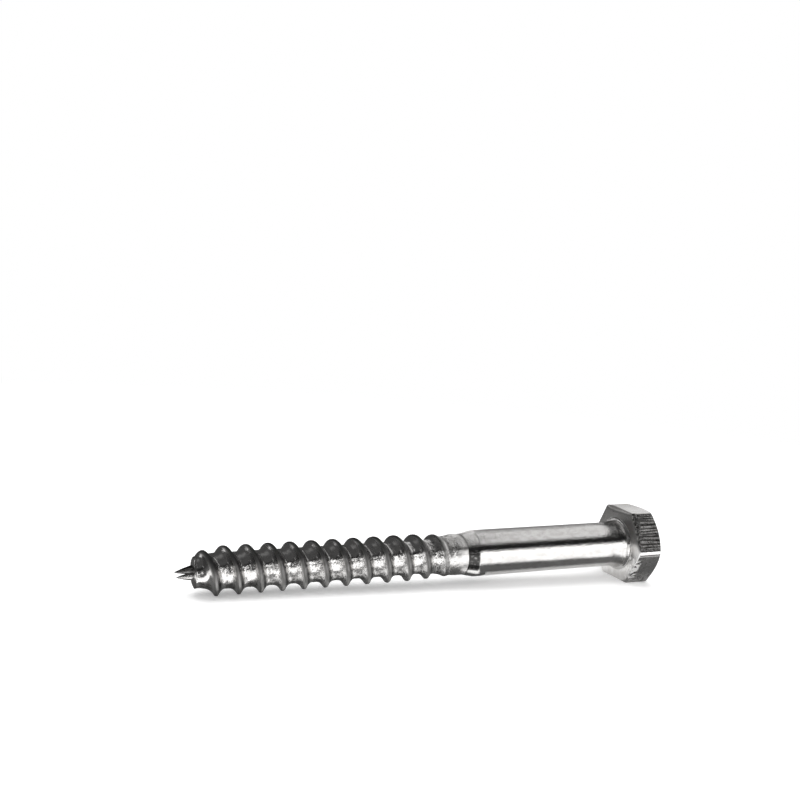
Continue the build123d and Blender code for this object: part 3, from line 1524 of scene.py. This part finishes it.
# Walls and a flag in front, table tops round the screw, the left wall, canopies and strips overhead, flags
# behind, and two small cards over the neck and the run-out. All sizes are in millimetres.
CARDS = (
    Card.standing("dark_flag_front", 0.02, (-390.0, 510.0), (80.0, 385.0), -235.0),
    Card.standing("bright_wall_front", 2.3, (45.0, 300.0), (0.0, 88.0), -234.0),
    Card.standing("bright_wall_left", 2.3, (8.0, 45.0), (0.0, 34.0), -234.0),
    Card.standing("bright_wall_far_left", 2.3, (-60.0, 8.0), (0.0, 14.0), -234.0),
    Card.standing("dark_wall_upper", 0.05, (8.0, 45.0), (34.0, 96.0), -234.0),
    Card.standing("dark_wall_left_upper", 0.05, (-60.0, 8.0), (14.0, 96.0), -234.0),
    Card.standing("grey_wall_front", 0.15, (-390.0, -60.0), (0.0, 96.0), -234.0),
    Card.standing("bright_wall_neck", 2.0, (-160.0, -95.0), (0.0, 45.0), -233.0),
    Card.lying("dark_table", 0.12, (-200.0, 11.0), (-233.0, 90.0), 0.06),
    Card(
        "bright_table",
        1.75,
        ((-46.0, -8.2, 0.10), (45.0, -233.0, 0.10), (280.0, -233.0, 0.10), (280.0, -8.2, 0.10)),
    ),
    Card.lying("bright_table_point", 2.0, (-46.0, -30.0), (-8.2, -4.0), 0.12),
    Card.lying("grey_table_point", 0.18, (-46.0, -30.0), (-4.0, -1.5), 0.12),
    Card.lying("grey_table_thread", 0.22, (-30.0, 9.5), (-8.2, -4.6), 0.12),
    Card.lying("bright_table_under", 1.3, (-30.0, 1.0), (-4.6, -2.0), 0.12),
    Card.lying("bright_table_cone", 1.5, (6.5, 9.5), (-4.6, -2.2), 0.12),
    Card.lying("dark_table_shank", 0.16, (9.5, 24.0), (-8.9, -2.4), 0.14),
    Card.lying("dark_table_shank_middle", 0.18, (24.0, 34.0), (-8.4, -2.4), 0.14),
    Card.lying("dark_table_shank_end", 0.20, (34.0, 39.5), (-7.9, -2.4), 0.14),
    Card.lying("dark_table_head", 0.12, (39.5, 52.0), (-9.6, -2.4), 0.14),
    Card.lying("bright_table_tip", 1.5, (-56.0, -46.0), (-9.0, 6.0), 0.12),
    Card.lying("dark_table_fin", 0.05, (-52.0, -38.7), (-20.0, -9.6), 0.14),
    Card.lying("dark_table_back", 0.20, (-35.0, 40.0), (20.0, 90.0), 0.12),
    Card.lying("bright_table_back", 1.8, (18.0, 33.0), (4.0, 19.0), 0.12),
    Card(
        "dark_wall_left",
        0.05,
        ((-160.0, -233.0, 0.0), (-160.0, 90.0, 0.0), (-160.0, 90.0, 60.0), (-160.0, -233.0, 60.0)),
    ),
    Card.lying("dark_canopy_low", 0.085, (-160.0, 8.0), (-60.0, 60.0), 60.0),
    Card.lying("grey_strip_low_wide", 0.13, (-75.0, 2.0), (2.0, 36.0), 59.5),
    Card.lying("grey_strip_low", 0.20, (-75.0, 2.0), (9.0, 27.0), 59.0),
    Card.lying("dark_canopy_high", 0.07, (52.0, 91.0), (-140.0, 140.0), 207.0),
    Card.lying("grey_strip_high", 0.13, (52.0, 91.0), (35.0, 100.0), 206.0),
    Card.standing("grey_flag_back", 0.30, (38.0, 76.0), (0.5, 44.0), 60.0),
    Card.standing("light_flag_back", 0.60, (38.0, 84.0), (44.0, 90.0), 60.0),
    Card.standing("dark_flag_back", 0.08, (-95.0, 24.0), (0.5, 60.0), 60.0),
    Card.lying("dark_flag_neck", 0.03, (37.4, 39.6), (-9.0, 9.0), 14.4),
    Card.lying("dark_canopy_run_out", 0.08, (-14.0, 4.5), (-30.0, 30.0), 30.0),
)


@dataclass(frozen=True)
class Lamp:
    """A soft square lamp that points at the screw.

    Attributes:
        name: Name of the lamp.
        at: Place in metres.
        size: Side in metres.
        watts: Power.
    """

    name: str
    at: Triple
    size: float
    watts: float

    def hang(self) -> None:
        """Hang the lamp up."""
        data = bpy.data.lights.new(self.name, "AREA")
        data.shape = "SQUARE"
        data.size = self.size
        data.energy = self.watts
        lamp = put_in_scene(self.name, data)
        lamp.location = self.at
        lamp.rotation_mode = "QUATERNION"
        lamp.rotation_quaternion = Vector(self.at).to_track_quat("Z", "Y")
        lamp.visible_camera = False
        lamp.visible_glossy = False


@dataclass(frozen=True)
class Studio:
    """Pale floor, white surroundings, soft lamps, cards and the camera.

    Attributes:
        floor_size: Side of the floor in metres.
        near: Distance from the middle, in metres, out to which the floor shows light and shadow.
        away: Distance beyond which it is plain white.
        fill: Share of the surroundings' white that lights the screw.
        lift: White added to the near floor where it is seen.
        cards: Cards round the screw.
        lamps: Lamps over it.
        lens: Focal length on a sensor 36 mm wide.
        eye: Place of the camera, in millimetres.
        right: Direction of the camera's right side.
        up: Direction of its upper side.
        back: Direction of its back, away from the screw.
    """

    floor_size: float = 6.0
    near: float = 0.12
    away: float = 0.30
    fill: float = 0.4
    lift: float = 0.30
    cards: tuple[Card, ...] = CARDS
    lamps: tuple[Lamp, ...] = (
        Lamp("soft_top", (0.05, 0.15, 1.2), 1.2, 14.0),
        Lamp("soft_left", (-0.9, -0.7, 0.8), 0.9, 5.0),
    )
    lens: float = 42.75
    eye: Triple = (-67.766, -143.650, 48.644)
    right: Triple = (0.92348779, -0.37520545, 0.07994475)
    up: Triple = (-0.03307789, 0.12973676, 0.99099658)
    back: Triple = (-0.38219909, -0.91781765, 0.10739931)

    def set_world(self) -> None:
        """White surroundings for the camera and the metal, and a gentle fill for the rest."""
        world = bpy.data.worlds.new("surroundings")
        bpy.context.scene.world = world
        graph = Graph(world)
        level = graph.in_view() * (1.0 - self.fill) + self.fill
        sky = graph.node("ShaderNodeBackground", {}, {"Color": grey(1.0), "Strength": level})
        graph.show(sky, "ShaderNodeOutputWorld")

    def dress_floor(self) -> bpy.types.Material:
        """Pale paper that keeps the shadow near the screw and is plain white further away.

        Returns:
            The material.
        """
        material = bpy.data.materials.new("pale_floor")
        graph = Graph(material)
        seen = graph.in_view()
        paper = graph.blend(graph.mottle(6.0, 2.0), grey(0.90), grey(0.93))
        matt = graph.node("ShaderNodeBsdfDiffuse", {}, {"Color": paper})
        lifted = graph.glow(seen * self.lift)
        near = graph.node("ShaderNodeAddShader", {}, {0: matt.outputs[0], 1: lifted.outputs[0]})
        length = graph.node("ShaderNodeVectorMath", {"operation": "LENGTH"}, {0: graph.where})
        far = graph.rise(Value(graph, length.outputs["Value"]), self.near, self.away)
        shaders = {0: far, 1: near.outputs[0], 2: graph.glow(seen).outputs[0]}
        graph.show(graph.node("ShaderNodeMixShader", {}, shaders))
        return material

    def lay_floor(self) -> None:
        """Lay the floor."""
        half = self.floor_size / 2
        mesh = bpy.data.meshes.new("studio_floor")
        corners = [(-half, -half, 0), (half, -half, 0), (half, half, 0), (-half, half, 0)]
        mesh.from_pydata(corners, [], [(0, 1, 2, 3)])
        mesh.materials.append(self.dress_floor())
        floor = put_in_scene("studio_floor", mesh)

    def set_camera(self) -> None:
        """Stand the camera in front of the tip side, a little above the floor."""
        data = bpy.data.cameras.new("camera")
        data.sensor_width = 36.0
        data.lens = self.lens
        data.clip_start = 0.005
        data.clip_end = 50.0
        camera = put_in_scene("camera", data)
        turn = Matrix((self.right, self.up, self.back)).transposed().to_4x4()
        camera.matrix_world = Matrix.Translation(Vector(self.eye) * MM) @ turn
        bpy.context.scene.camera = camera

    def build(self) -> None:
        """Set the whole studio up."""
        bpy.context.scene.view_settings.view_transform = "Standard"
        self.set_camera()
        self.set_world()
        self.lay_floor()
        for card in self.cards:
            card.place()
        for lamp in self.lamps:
            lamp.hang()


# ---------------------------------------------------------------- the whole screw


@dataclass
class CoachScrew:
    """The whole screw, from head to point.

    Attributes:
        head: Hex head.
        shank: Plain shank.
        thread: Wood thread.
        point: Nipped point.
        forged: Finish of the head.
        drawn: Finish of the shank.
        rolled: Finish of the thread.
        pinched: Finish of the nose and the lower lobe of the spur.
        shaded_lobe: Dark grey on the upper lobe: painted shade.
    """

    head: HexHead = field(default_factory=HexHead)
    shank: PlainShank = field(default_factory=PlainShank)
    thread: WoodThread = field(default_factory=WoodThread)
    point: NippedPoint = field(default_factory=NippedPoint)
    forged: ForgedZinc = ForgedZinc("zinc_on_forged_head", pebble=0.014, dimple=0.016)
    drawn: DrawnZinc = DrawnZinc(
        "zinc_on_drawn_shank",
        light=0.62,
        dull=0.52,
        gloss=0.06,
        haze=0.05,
        pebble=0.034,
        pebble_size=0.24,
        dimple=0.004,
        draw=0.6,
    )
    rolled: RolledZinc = RolledZinc(
        "zinc_on_rolled_thread", pebble=0.08, pebble_size=0.5, dimple=0.11, gloss=0.12
    )
    pinched: BrightZinc = BrightZinc("zinc_on_pinched_point", light=0.58, dull=0.46, pebble=0.03, dimple=0.03)
    # The upper lobe's dark grey is painted shade.
    shaded_lobe: BrightZinc = BrightZinc("painted_shade_on_spur_lobe", light=0.16, dull=0.07, pebble=0.03, dimple=0.03)

    def build(self, record: dict[str, Any]) -> list[bpy.types.Object]:
        """Build and dress every part of the screw.

        Args:
            record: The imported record.

        Returns:
            The pieces.
        """
        axes = ScrewAxes.from_record(record, self.head.height)
        pinched = self.pinched.make()
        return [
            self.head.build().make("hex_head", axes, self.forged.make()),
            self.shank.build().make("plain_shank", axes, self.drawn.make()),
            self.thread.build().make("rolled_thread", axes, self.rolled.make()),
            self.point.nose().make("nipped_nose", axes, pinched),
            self.point.lobe(self.point.upper).make("spur_upper_lobe", axes, self.shaded_lobe.make()),
            self.point.lobe(self.point.lower).make("spur_lower_lobe", axes, pinched),
        ]


def main() -> None:
    """Build the studio and the screw, and report each piece."""
    logging.basicConfig(level=logging.INFO, format="%(name)s: %(message)s")
    Studio().build()
    for piece in CoachScrew().build(frame["record"]):
        LOG.info("%s: %d points, %d faces", piece.name, len(piece.data.vertices), len(piece.data.polygons))


if __name__ == "__main__":
    main()
